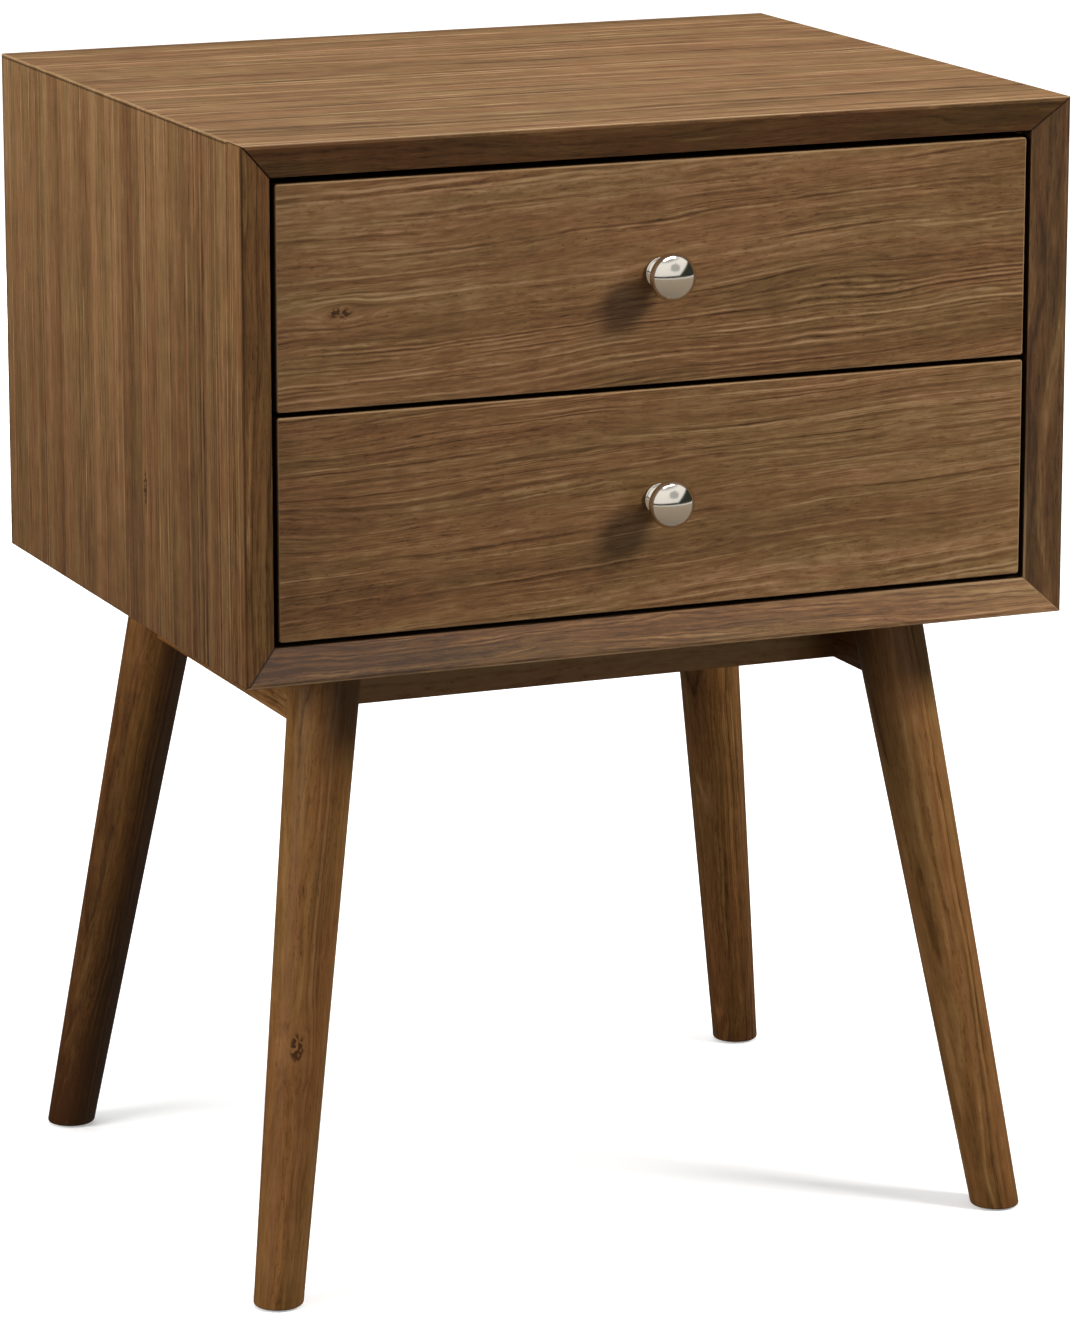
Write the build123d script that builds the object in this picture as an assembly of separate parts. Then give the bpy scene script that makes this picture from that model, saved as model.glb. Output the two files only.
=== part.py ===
"""Nightstand with two drawers: a mitred case on an underframe with four splayed, tapered legs.

Millimetres, +Z up, and the front faces -Y. The origin is on the floor, under the middle of the
whole object, knobs included.
"""

from build123d import *
import os

# ---------------------------------------------------------------- driving dimensions
CASE_W = 460.0
CASE_D = 380.0
CASE_H = 275.0
TOTAL_H = 610.0
PANEL_T = 18.0
CASE_EASING = 0.6  # radius on the case's outside edges

NOSING = 2.2  # flat strip at the outer edge of the front frame
BEVEL_DEPTH = 8.5  # how far the bevel falls back from the case's front plane
MOULDING_D = 20.0  # depth of the solid front mouldings
MITRE_GROOVE_R = 0.35  # half-round groove along each mitre line of the front frame

BACK_T = 6.0
BACK_RECESS = 1.5  # outer face of the back panel inside the case's back edges
BACK_REBATE = 8.0  # how far the back panel reaches into each case panel
BACK_GAP = 0.3

REVEAL_SIDE = 2.8  # gap between a drawer front and the frame's sides
REVEAL_TOP = 3.6  # gap above the upper drawer front
REVEAL_BOTTOM = 2.5  # gap below the lower drawer front
DRAWER_GAP = 2.6  # gap between the two drawer fronts
FRONT_T = 18.0
FRONT_CORNER_R = 1.5
FRONT_EDGE_R = 0.9

SLIDE_GAP = 10.0  # space for a runner between drawer box and case
BOX_T = 12.0
BOX_H = 92.0
BOX_L = 310.0
BOX_DROP = 12.0  # lower edge of the box above the lower edge of its drawer front
BOX_EASING = 2.0
BOTTOM_T = 5.0
BOTTOM_LIFT = 8.0  # underside of the drawer bottom above the box's lower edge
GROOVE_DEPTH = 5.0
GROOVE_CLEARANCE = 0.15

KNOB_R = 12.5
KNOB_H = 24.0
KNOB_RIM = 15.8  # widest plane of the head, from the drawer front
KNOB_BASE_R = 8.3
KNOB_BASE_T = 1.3
KNOB_BASE_EASING = 0.4
KNOB_FLARE_MIDDLE = (5.7, 2.9)  # radius and distance from the drawer front, halfway down the flare
KNOB_NECK_R = 4.8
KNOB_NECK_LOW = 6.4
KNOB_NECK_HIGH = 10.4
KNOB_UNDERSIDE_MIDDLE = (10.4, 12.3)
KNOB_BORE_DEPTH = 14.0

RAIL_H = 42.0
RAIL_T = 22.0
RAIL_X = 162.0  # middle plane of each side rail
CROSS_RAIL_INSET = 112.0  # outer face of the front and back rails from the case's front and back
LEG_TOP_R = 19.0
LEG_FOOT_R = 13.0
LEG_TOP_X = 160.0  # leg axis at the case's underside, from the case's middle
LEG_TOP_Y = 119.5
LEG_FOOT_X = 209.0  # leg axis at the foot, from the case's middle
LEG_FOOT_Y = 169.0
LEG_OVERRUN = 20.0  # the turned leg before its ends are cut level
FOOT_EASING = 1.2
TENON_T = 12.0
TENON_H = 26.0
TENON_END = 118.0  # end of a tenon inside the leg, from the case's middle
DOWEL_R = 4.0
DOWEL_L = 30.0
DOWEL_HEIGHTS = (12.0, 30.0)  # above the lower edge of the rails

GLIDE_R = 9.0
GLIDE_T = 3.0
GLIDE_PROUD = 1.0  # how far a glide stands out under the foot

SLIDE_L = 300.0
SLIDE_TRAVEL = 225.0
SLIDE_SETBACK = 2.0  # front end of a runner behind the drawer front
SLIDE_LIFT = 46.0  # middle of a runner above the box's lower edge
CABINET_MEMBER_H = 27.0
CABINET_MEMBER_T = 8.2
CABINET_MEMBER_R = 1.5
CABINET_LIP = 1.0
DRAWER_MEMBER_H = 17.2
DRAWER_MEMBER_T = 7.2
DRAWER_MEMBER_R = 1.2
STEEL_T = 1.2
STOP_H = 10.0  # the tab that closes a cabinet member at the back
CAGE_T = 0.5
CAGE_EDGE = 0.3  # how far a cage's flanges reach past the balls
CAGE_OFFSET = 1.7  # web of a ball cage from the case's side
BALL_R = 1.6
BALL_OFFSET = 4.8  # ball centres from the case's side
BALLS_PER_ROW = 8

CLEARANCE = 0.1  # around a screw, dowel or glide in its hole
TIP_ROOM = 0.5  # between a screw's tip and the end of its hole
BACK_SCREW = {"length": 18.0, "radius": 1.4, "head_r": 2.9, "head_h": 1.2}
BACK_SCREW_X = (-150.0, 0.0, 150.0)
BACK_SCREW_Z = (-70.0, 70.0)  # from the case's middle height
BASE_SCREW = {"length": 34.0, "radius": 2.25, "head_r": 4.2, "head_h": 2.6}
BASE_SCREW_GRIP = 13.0  # how far it reaches into the bottom panel
COUNTERBORE_R = 5.5
CROSS_RAIL_SCREW_X = 90.0
SIDE_RAIL_SCREW_Y = 30.0  # from the case's middle depth
FRONT_SCREW = {"length": 24.5, "radius": 1.75, "head_r": 3.6, "head_h": 2.0}
FRONT_SCREW_X = 130.0
FRONT_SCREW_Z = (28.0, 68.0)  # above the box's lower edge
KNOB_SCREW = {"length": 42.0, "radius": 2.0, "head_r": 4.0, "head_h": 2.4}
RUNNER_SCREW = {"length": 12.0, "radius": 1.6, "head_r": 3.0}
CASE_SCREW_Y = (37.0, 229.0)  # behind a runner's front end
BOX_SCREW_Y = (35.0, 261.0)
DRIVER_SLOT = 0.22  # width of a cross recess, as a share of the head's radius
DOME = 0.74  # how full a pan head's curve is

# ---------------------------------------------------------------- derived places
KNOB_STANDS_OUT = KNOB_H - BEVEL_DEPTH
FRONT_Y = -(CASE_D + KNOB_STANDS_OUT) / 2 + KNOB_STANDS_OUT
BACK_Y = FRONT_Y + CASE_D
MID_Y = FRONT_Y + CASE_D / 2
CASE_Z = TOTAL_H - CASE_H
MID_Z = CASE_Z + CASE_H / 2
INNER_X = CASE_W / 2 - PANEL_T
FACE_Y = FRONT_Y + BEVEL_DEPTH  # outer face of the drawer fronts
BOX_Y = FACE_Y + FRONT_T  # front of the drawer boxes
BOX_X = INNER_X - SLIDE_GAP
FRONT_W = 2 * (INNER_X - REVEAL_SIDE)
FRONT_H = (CASE_H - 2 * PANEL_T - REVEAL_TOP - REVEAL_BOTTOM - DRAWER_GAP) / 2
LOWER_Z = CASE_Z + PANEL_T + REVEAL_BOTTOM
UPPER_Z = LOWER_Z + FRONT_H + DRAWER_GAP
SLIDE_Y = BOX_Y + SLIDE_SETBACK
CAGE_L = SLIDE_L - SLIDE_TRAVEL - 1.0
RAIL_Z = CASE_Z - RAIL_H

SIDES = {"left": -1, "right": 1}
ENDS = {"front": -1, "back": 1}
FORWARD = (0, -1, 0)
UP = (0, 0, 1)
FROM_END = (Align.CENTER, Align.CENTER, Align.MIN)

parts = {}


# ---------------------------------------------------------------- general shapes
def block(x, y, z):
    """A box from three (low, high) pairs."""
    size = [high - low for low, high in (x, y, z)]
    middle = [(high + low) / 2 for low, high in (x, y, z)]
    return Pos(*middle) * Box(*size)


def rod(start, direction, radius, length):
    """A cylinder from a point along a direction."""
    return Plane(origin=start, z_dir=direction) * Cylinder(radius, length, align=FROM_END)


def group(shapes):
    """Separate solids that share one node."""
    return Compound(children=[solid for shape in shapes for solid in shape.solids()])


def turned(outline, start, direction):
    """A turned piece: an outline of radius against length, from a point along a direction."""
    return Plane(origin=start, z_dir=direction) * revolve(Plane.XZ * make_face(outline), Axis.Z)


def pan_screw(seat, direction, length, radius, head_r, head_h):
    """A pan-head screw: its head rests on seat, and its shank runs along direction."""
    outward = -Vector(*direction)
    dome = (
        Line((0, 0), (head_r, 0))
        + ThreePointArc((head_r, 0), (head_r * DOME, head_h * DOME), (0, head_h))
        + Line((0, head_h), (0, 0))
    )
    head = turned(dome, seat, outward)
    slot = Pos(0, 0, head_h) * Box(head_r, head_r * DRIVER_SLOT, head_h)
    recess = Plane(origin=seat, z_dir=outward) * (slot + Rot(0, 0, 90) * slot)
    return head - recess + rod(seat, direction, radius, length)


def screw_hole(seat, direction, screw):
    """A hole from a screw's seat, a little longer and wider than the screw."""
    return rod(seat, direction, screw["radius"] + CLEARANCE, screw["length"] + TIP_ROOM)


def flush_screw(surface, direction, length, radius, head_r, grow=0.0, recess=True):
    """A countersunk screw from a surface along direction, or with grow and no recess its hole."""
    r_head, r_shank, cone = head_r + grow, radius + grow, head_r - radius
    outline = Polyline((0, 0), (r_head, 0), (r_shank, cone), (r_shank, length), (0, length), close=True)
    body = turned(outline, surface, direction)
    if not recess:
        return body
    slot = Box(head_r, head_r * DRIVER_SLOT, cone)
    return body - Plane(origin=surface, z_dir=direction) * (slot + Rot(0, 0, 90) * slot)


# ---------------------------------------------------------------- case
def mitred_side(side, y_low, y_high):
    """One side of the case's mitred ring, between two depths."""
    out_w, out_h = CASE_W / 2, CASE_H / 2
    in_w, in_h = out_w - PANEL_T, out_h - PANEL_T
    corners = {
        "top": [(-out_w, out_h), (out_w, out_h), (in_w, in_h), (-in_w, in_h)],
        "bottom": [(-out_w, -out_h), (out_w, -out_h), (in_w, -in_h), (-in_w, -in_h)],
        "left": [(-out_w, -out_h), (-out_w, out_h), (-in_w, in_h), (-in_w, -in_h)],
        "right": [(out_w, -out_h), (out_w, out_h), (in_w, in_h), (in_w, -in_h)],
    }[side]
    plane = Plane(origin=(0, y_high, MID_Z), x_dir=(1, 0, 0), z_dir=FORWARD)
    return extrude(plane * make_face(Polyline(*corners, close=True)), y_high - y_low)


def frame_hopper():
    """The space in front of the bevelled frame, from just before its mouth down to the opening."""
    ahead = 1.0
    spread = (PANEL_T - NOSING) / BEVEL_DEPTH
    edge = NOSING - spread * ahead
    mouth = Plane(origin=(0, FRONT_Y - ahead, MID_Z), x_dir=(1, 0, 0), z_dir=FORWARD)
    throat = Plane(origin=(0, FACE_Y, MID_Z), x_dir=(1, 0, 0), z_dir=FORWARD)
    return loft([
        throat * Rectangle(2 * INNER_X, CASE_H - 2 * PANEL_T),
        mouth * Rectangle(CASE_W - 2 * edge, CASE_H - 2 * edge),
    ])


def make_back():
    """The back panel with its screws, and the rebate and screw holes that they need."""
    reach = BACK_REBATE - BACK_GAP
    outer_y = BACK_Y - BACK_RECESS
    low_z, high_z = CASE_Z + PANEL_T, TOTAL_H - PANEL_T
    panel = block(
        (-INNER_X - reach, INNER_X + reach), (outer_y - BACK_T, outer_y), (low_z - reach, high_z + reach)
    )
    rebate = block(
        (-INNER_X - BACK_REBATE, INNER_X + BACK_REBATE),
        (outer_y - BACK_T, BACK_Y + 1),
        (low_z - BACK_REBATE, high_z + BACK_REBATE),
    )
    into_panel = BACK_REBATE / 2
    edges_z = (low_z - into_panel, high_z + into_panel)
    heads = [(x, outer_y, z) for x in BACK_SCREW_X for z in edges_z]
    sides_x = (-INNER_X - into_panel, INNER_X + into_panel)
    heads += [(x, outer_y, MID_Z + z) for x in sides_x for z in BACK_SCREW_Z]
    screws = [pan_screw(head, FORWARD, **BACK_SCREW) for head in heads]
    holes = [screw_hole(head, FORWARD, BACK_SCREW) for head in heads]
    parts["back_panel"] = panel - holes
    parts["back_panel_screws"] = group(screws)
    return [rebate, *holes]


def mitre_grooves():
    """Half-round grooves along the mitres of the front frame: across each nosing, then down the bevel."""
    grooves = []
    for x_sign in (-1, 1):
        for z_sign in (-1, 1):
            outer = Vector(x_sign * CASE_W / 2, FRONT_Y, MID_Z + z_sign * CASE_H / 2)
            ridge = outer - Vector(x_sign * NOSING, 0, z_sign * NOSING)
            inner = Vector(x_sign * INNER_X, FACE_Y, MID_Z + z_sign * (CASE_H / 2 - PANEL_T))
            for start, end in ((outer, ridge), (ridge, inner)):
                grooves.append(rod(start, end - start, MITRE_GROOVE_R, (end - start).length))
    return grooves


def make_case(cuts):
    """The four mitred panels and the four front mouldings, less what cuts into the panels."""
    envelope = fillet(
        block((-CASE_W / 2, CASE_W / 2), (FRONT_Y, BACK_Y), (CASE_Z, TOTAL_H)).edges(), CASE_EASING
    )
    front_cuts = [frame_hopper(), *mitre_grooves()]
    joint_y = FRONT_Y + MOULDING_D
    for side in ("top", "bottom", "left", "right"):
        panel = f"{side}_side_panel" if side in SIDES else f"{side}_panel"
        parts[panel] = (mitred_side(side, joint_y, BACK_Y) & envelope) - cuts
        parts[f"{side}_front_moulding"] = (mitred_side(side, FRONT_Y, joint_y) & envelope) - front_cuts


# ---------------------------------------------------------------- underframe
def make_legs():
    """Four round legs, tapered and splayed both ways, cut level at both ends, with their glides."""
    glides = []
    level = block((-CASE_W, CASE_W), (-CASE_D, CASE_D), (GLIDE_PROUD, CASE_Z))
    for end, y_sign in ENDS.items():
        for side, x_sign in SIDES.items():
            top = Vector(x_sign * LEG_TOP_X, MID_Y + y_sign * LEG_TOP_Y, CASE_Z)
            foot = Vector(x_sign * LEG_FOOT_X, MID_Y + y_sign * LEG_FOOT_Y, 0)
            run = top - foot
            flare = (LEG_TOP_R - LEG_FOOT_R) / run.length * LEG_OVERRUN
            start = Plane(origin=foot - run.normalized() * LEG_OVERRUN, z_dir=run)
            turning = start * Cone(
                LEG_FOOT_R - flare, LEG_TOP_R + flare, run.length + 2 * LEG_OVERRUN, align=FROM_END
            )
            leg = turning & level
            sole = leg.faces().sort_by(Axis.Z)[0]
            leg = fillet(sole.edges(), FOOT_EASING)
            glide = fillet(rod(foot, UP, GLIDE_R, GLIDE_T).edges().group_by(Axis.Z)[0], 0.5)
            glides.append(glide)
            parts[f"{end}_{side}_leg"] = leg - rod(foot, UP, GLIDE_R + CLEARANCE, GLIDE_T)
    parts["foot_glides"] = group(glides)


def make_rails():
    """Side rails tenoned into the legs, cross rails dowelled between them, and their screws."""
    inner_face = RAIL_X - RAIL_T / 2
    tenon_z = (RAIL_Z + (RAIL_H - TENON_H) / 2, RAIL_Z + (RAIL_H + TENON_H) / 2)
    seat_z = CASE_Z + BASE_SCREW_GRIP - BASE_SCREW["length"]
    dowels, screws, holes = [], [], []

    def fasten(x, y):
        seat = (x, y, seat_z)
        screws.append(pan_screw(seat, UP, **BASE_SCREW))
        holes.append(screw_hole(seat, UP, BASE_SCREW))
        return [holes[-1], rod((x, y, RAIL_Z), UP, COUNTERBORE_R, seat_z - RAIL_Z)]

    for end, y_sign in ENDS.items():
        out_y = MID_Y + y_sign * (CASE_D / 2 - CROSS_RAIL_INSET)
        in_y = out_y - y_sign * RAIL_T
        cross = block((-inner_face, inner_face), sorted((out_y, in_y)), (RAIL_Z, CASE_Z))
        middle_y = (out_y + in_y) / 2
        pins = [
            Pos(s * inner_face, middle_y, RAIL_Z + z) * Rot(0, 90, 0) * Cylinder(DOWEL_R, DOWEL_L)
            for s in SIDES.values()
            for z in DOWEL_HEIGHTS
        ]
        dowels += pins
        bored = fasten(-CROSS_RAIL_SCREW_X, middle_y) + fasten(CROSS_RAIL_SCREW_X, middle_y)
        parts[f"{end}_rail"] = cross - bored
    sockets = [
        Pos(pin.center()) * Rot(0, 90, 0) * Cylinder(DOWEL_R + CLEARANCE, DOWEL_L + 1) for pin in dowels
    ]
    for end in ENDS:
        parts[f"{end}_rail"] = parts[f"{end}_rail"] - sockets
    for side, x_sign in SIDES.items():
        x = x_sign * RAIL_X
        rail = block(
            (x - RAIL_T / 2, x + RAIL_T / 2), (MID_Y - LEG_TOP_Y, MID_Y + LEG_TOP_Y), (RAIL_Z, CASE_Z)
        )
        tenons = block((x - TENON_T / 2, x + TENON_T / 2), (MID_Y - TENON_END, MID_Y + TENON_END), tenon_z)
        legs = [f"{end}_{side}_leg" for end in ENDS]
        rail = rail - [parts[leg] for leg in legs]
        rail = max(rail.solids(), key=lambda solid: solid.volume) + tenons
        for leg in legs:
            parts[leg] = parts[leg] - tenons
        bored = fasten(x, MID_Y - SIDE_RAIL_SCREW_Y) + fasten(x, MID_Y + SIDE_RAIL_SCREW_Y)
        parts[f"{side}_side_rail"] = rail - sockets - bored
    parts["rail_dowels"] = group(dowels)
    parts["base_screws"] = group(screws)
    return holes


# ---------------------------------------------------------------- runners
def channel(profile, y_low, length):
    """A rolled section: a profile of offset from the case's left side against height, along Y."""
    plane = Plane(origin=(-INNER_X, y_low + length, 0), x_dir=(1, 0, 0), z_dir=FORWARD)
    return extrude(plane * profile, length)


def strip(x, z):
    """A flat profile from two (low, high) pairs."""
    return Pos((x[0] + x[1]) / 2, (z[0] + z[1]) / 2) * Rectangle(x[1] - x[0], z[1] - z[0])


def make_runner(level, side, middle_z):
    """One runner: cabinet member, ball cage and drawer member. Returns its screw holes."""
    half = CABINET_MEMBER_H / 2
    flange = STEEL_T + CABINET_LIP
    outer = RectangleRounded(CABINET_MEMBER_T, CABINET_MEMBER_H, CABINET_MEMBER_R)
    outer = Pos(CABINET_MEMBER_T / 2, 0) * outer
    inner = strip((STEEL_T, CABINET_MEMBER_T - STEEL_T), (STEEL_T - half, half - STEEL_T))
    mouth = strip((STEEL_T, CABINET_MEMBER_T + 1), (flange - half, half - flange))
    cabinet = channel(outer - inner - mouth, SLIDE_Y, SLIDE_L)
    back_end = SLIDE_Y + SLIDE_L
    cabinet = cabinet + block(
        (STEEL_T / 2 - INNER_X, CABINET_MEMBER_T - INNER_X),
        (back_end - STEEL_T, back_end),
        (-STOP_H / 2, STOP_H / 2),
    )

    near, far = SLIDE_GAP - DRAWER_MEMBER_T, SLIDE_GAP
    half = DRAWER_MEMBER_H / 2
    outer = strip((near, far), (-half, half))
    outer = fillet(outer.vertices().group_by(Axis.X)[-1], DRAWER_MEMBER_R)
    inner = strip((near - 1, far - STEEL_T), (STEEL_T - half, half - STEEL_T))
    drawer_l = SLIDE_L - 2 * STEEL_T
    drawer = channel(outer - inner, SLIDE_Y, drawer_l)

    ball_z = (CABINET_MEMBER_H / 2 - STEEL_T + DRAWER_MEMBER_H / 2) / 2
    half = ball_z + CAGE_T / 2
    outer = strip((CAGE_OFFSET, BALL_OFFSET + BALL_R + CAGE_EDGE), (-half, half))
    inner = strip((CAGE_OFFSET + CAGE_T, CABINET_MEMBER_T), (CAGE_T - half, half - CAGE_T))
    cage_y = SLIDE_Y + (SLIDE_L - CAGE_L) / 2
    cage = channel(outer - inner, cage_y, CAGE_L)
    pitch = CAGE_L / BALLS_PER_ROW
    centres = [
        (BALL_OFFSET - INNER_X, cage_y + (i + 0.5) * pitch, z)
        for i in range(BALLS_PER_ROW)
        for z in (-ball_z, ball_z)
    ]
    cage = cage - [Pos(*c) * Sphere(BALL_R + CLEARANCE) for c in centres]
    balls = [Pos(*c) * Sphere(BALL_R) for c in centres]

    case_screws = [((STEEL_T - INNER_X, SLIDE_Y + y, 0), (-1, 0, 0)) for y in CASE_SCREW_Y]
    box_screws = [((far - STEEL_T - INNER_X, SLIDE_Y + y, 0), (1, 0, 0)) for y in BOX_SCREW_Y]
    holes = [
        flush_screw(*screw, **RUNNER_SCREW, grow=CLEARANCE, recess=False)
        for screw in case_screws + box_screws
    ]

    def place(shape):
        moved = Pos(0, 0, middle_z) * shape
        return moved if SIDES[side] < 0 else mirror(moved, about=Plane.YZ)

    parts[f"{level}_{side}_cabinet_member"] = place(cabinet - holes)
    parts[f"{level}_{side}_drawer_member"] = place(drawer - holes)
    parts[f"{level}_{side}_ball_cage"] = place(group([cage, *balls]))
    return {
        "case_screws": [place(flush_screw(*screw, **RUNNER_SCREW)) for screw in case_screws],
        "box_screws": [place(flush_screw(*screw, **RUNNER_SCREW)) for screw in box_screws],
        "holes": [place(hole) for hole in holes],
    }


# ---------------------------------------------------------------- drawers
def make_knob(level, middle_z):
    """A turned mushroom knob on a flared base, and the machine screw that holds it from inside."""
    dome_h = KNOB_H - KNOB_RIM
    pull = 0.5523  # makes the dome's curve a quarter of an ellipse
    outline = (
        Line((0, 0), (KNOB_BASE_R - KNOB_BASE_EASING, 0))
        + Line((KNOB_BASE_R - KNOB_BASE_EASING, 0), (KNOB_BASE_R, KNOB_BASE_EASING))
        + Line((KNOB_BASE_R, KNOB_BASE_EASING), (KNOB_BASE_R, KNOB_BASE_T))
        + ThreePointArc((KNOB_BASE_R, KNOB_BASE_T), KNOB_FLARE_MIDDLE, (KNOB_NECK_R, KNOB_NECK_LOW))
        + Line((KNOB_NECK_R, KNOB_NECK_LOW), (KNOB_NECK_R, KNOB_NECK_HIGH))
        + ThreePointArc((KNOB_NECK_R, KNOB_NECK_HIGH), KNOB_UNDERSIDE_MIDDLE, (KNOB_R, KNOB_RIM))
        + Bezier(
            (KNOB_R, KNOB_RIM), (KNOB_R, KNOB_RIM + pull * dome_h), (pull * KNOB_R, KNOB_H), (0, KNOB_H)
        )
        + Line((0, KNOB_H), (0, 0))
    )
    seat = (0, FACE_Y, middle_z)
    head = (0, BOX_Y + BOX_T, middle_z)
    hole_r = KNOB_SCREW["radius"] + CLEARANCE
    parts[f"{level}_knob"] = turned(outline, seat, FORWARD) - rod(seat, FORWARD, hole_r, KNOB_BORE_DEPTH)
    parts[f"{level}_knob_screw"] = pan_screw(head, FORWARD, **KNOB_SCREW)
    return rod(head, FORWARD, hole_r, BOX_T + FRONT_T)


def make_drawer(level, front_z, runner_holes):
    """A drawer: its walnut front, the five boards of its box, and the screws between them."""
    middle_z = front_z + FRONT_H / 2
    low_z = front_z + BOX_DROP
    front = block((-FRONT_W / 2, FRONT_W / 2), (FACE_Y, BOX_Y), (front_z, front_z + FRONT_H))
    front = fillet(front.edges().filter_by(Axis.Y), FRONT_CORNER_R)
    front = fillet(front.faces().sort_by(Axis.Y)[0].edges(), FRONT_EDGE_R)

    inner_x = BOX_X - BOX_T
    box_end = BOX_Y + BOX_L
    heads = [(s * FRONT_SCREW_X, BOX_Y + BOX_T, low_z + z) for s in SIDES.values() for z in FRONT_SCREW_Z]
    holes = [screw_hole(head, FORWARD, FRONT_SCREW) for head in heads] + [make_knob(level, middle_z)]
    parts[f"{level}_front_screws"] = group([pan_screw(head, FORWARD, **FRONT_SCREW) for head in heads])
    parts[f"{level}_drawer_front"] = front - holes

    slack = GROOVE_CLEARANCE
    bottom_z = low_z + BOTTOM_LIFT
    reach = inner_x + GROOVE_DEPTH
    near, far = BOX_Y + BOX_T - GROOVE_DEPTH, box_end - BOX_T + GROOVE_DEPTH
    groove = block((-reach, reach), (near, far), (bottom_z - slack, bottom_z + BOTTOM_T + slack))
    bottom = block(
        (slack - reach, reach - slack), (near + slack, far - slack), (bottom_z, bottom_z + BOTTOM_T)
    )
    z = (low_z, low_z + BOX_H)
    boards = {
        "box_front": block((-inner_x, inner_x), (BOX_Y, BOX_Y + BOX_T), z),
        "box_back": block((-inner_x, inner_x), (box_end - BOX_T, box_end), z),
        "box_left_side": block((-BOX_X, -inner_x), (BOX_Y, box_end), z),
        "box_right_side": block((inner_x, BOX_X), (BOX_Y, box_end), z),
    }
    for name, board in boards.items():
        along = Axis.Y if "side" in name else Axis.X
        top_edges = board.edges().filter_by(along).group_by(Axis.Z)[-1]
        eased = fillet(top_edges, BOX_EASING)
        parts[f"{level}_{name}"] = eased - groove - holes - runner_holes
    parts[f"{level}_box_bottom"] = bottom


# ---------------------------------------------------------------- assembly
make_legs()
case_cuts = make_back() + make_rails()
case_screws = []
for level, front_z in {"upper": UPPER_Z, "lower": LOWER_Z}.items():
    runners = [make_runner(level, side, front_z + BOX_DROP + SLIDE_LIFT) for side in SIDES]
    runner_holes = [hole for runner in runners for hole in runner["holes"]]
    case_cuts += runner_holes
    case_screws += [screw for runner in runners for screw in runner["case_screws"]]
    parts[f"{level}_runner_screws"] = group([screw for runner in runners for screw in runner["box_screws"]])
    make_drawer(level, front_z, runner_holes)
parts["cabinet_runner_screws"] = group(case_screws)
make_case(case_cuts)

os.makedirs("parts", exist_ok=True)
for name, shape in parts.items():
    export_step(shape, f"parts/{name}.step")
print(len(parts), "nodes")
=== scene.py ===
import bpy
import bmesh
from math import cos, pi, radians, sin
from mathutils import Matrix, Vector


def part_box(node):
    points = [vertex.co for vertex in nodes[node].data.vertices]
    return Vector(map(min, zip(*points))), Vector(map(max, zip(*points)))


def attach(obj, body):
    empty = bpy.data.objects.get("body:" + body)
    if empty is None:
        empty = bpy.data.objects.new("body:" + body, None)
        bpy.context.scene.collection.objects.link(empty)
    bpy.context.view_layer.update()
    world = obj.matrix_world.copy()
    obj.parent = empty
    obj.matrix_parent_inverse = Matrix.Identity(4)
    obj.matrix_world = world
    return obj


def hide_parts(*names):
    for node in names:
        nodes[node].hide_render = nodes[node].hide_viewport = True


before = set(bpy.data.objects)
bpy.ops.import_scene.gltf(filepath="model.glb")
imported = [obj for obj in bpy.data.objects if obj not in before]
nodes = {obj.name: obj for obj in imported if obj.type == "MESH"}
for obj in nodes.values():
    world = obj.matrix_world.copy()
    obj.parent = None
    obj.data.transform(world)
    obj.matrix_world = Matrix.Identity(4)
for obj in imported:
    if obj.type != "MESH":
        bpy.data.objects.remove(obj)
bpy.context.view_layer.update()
scene = bpy.context.scene
MM = 0.001


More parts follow.
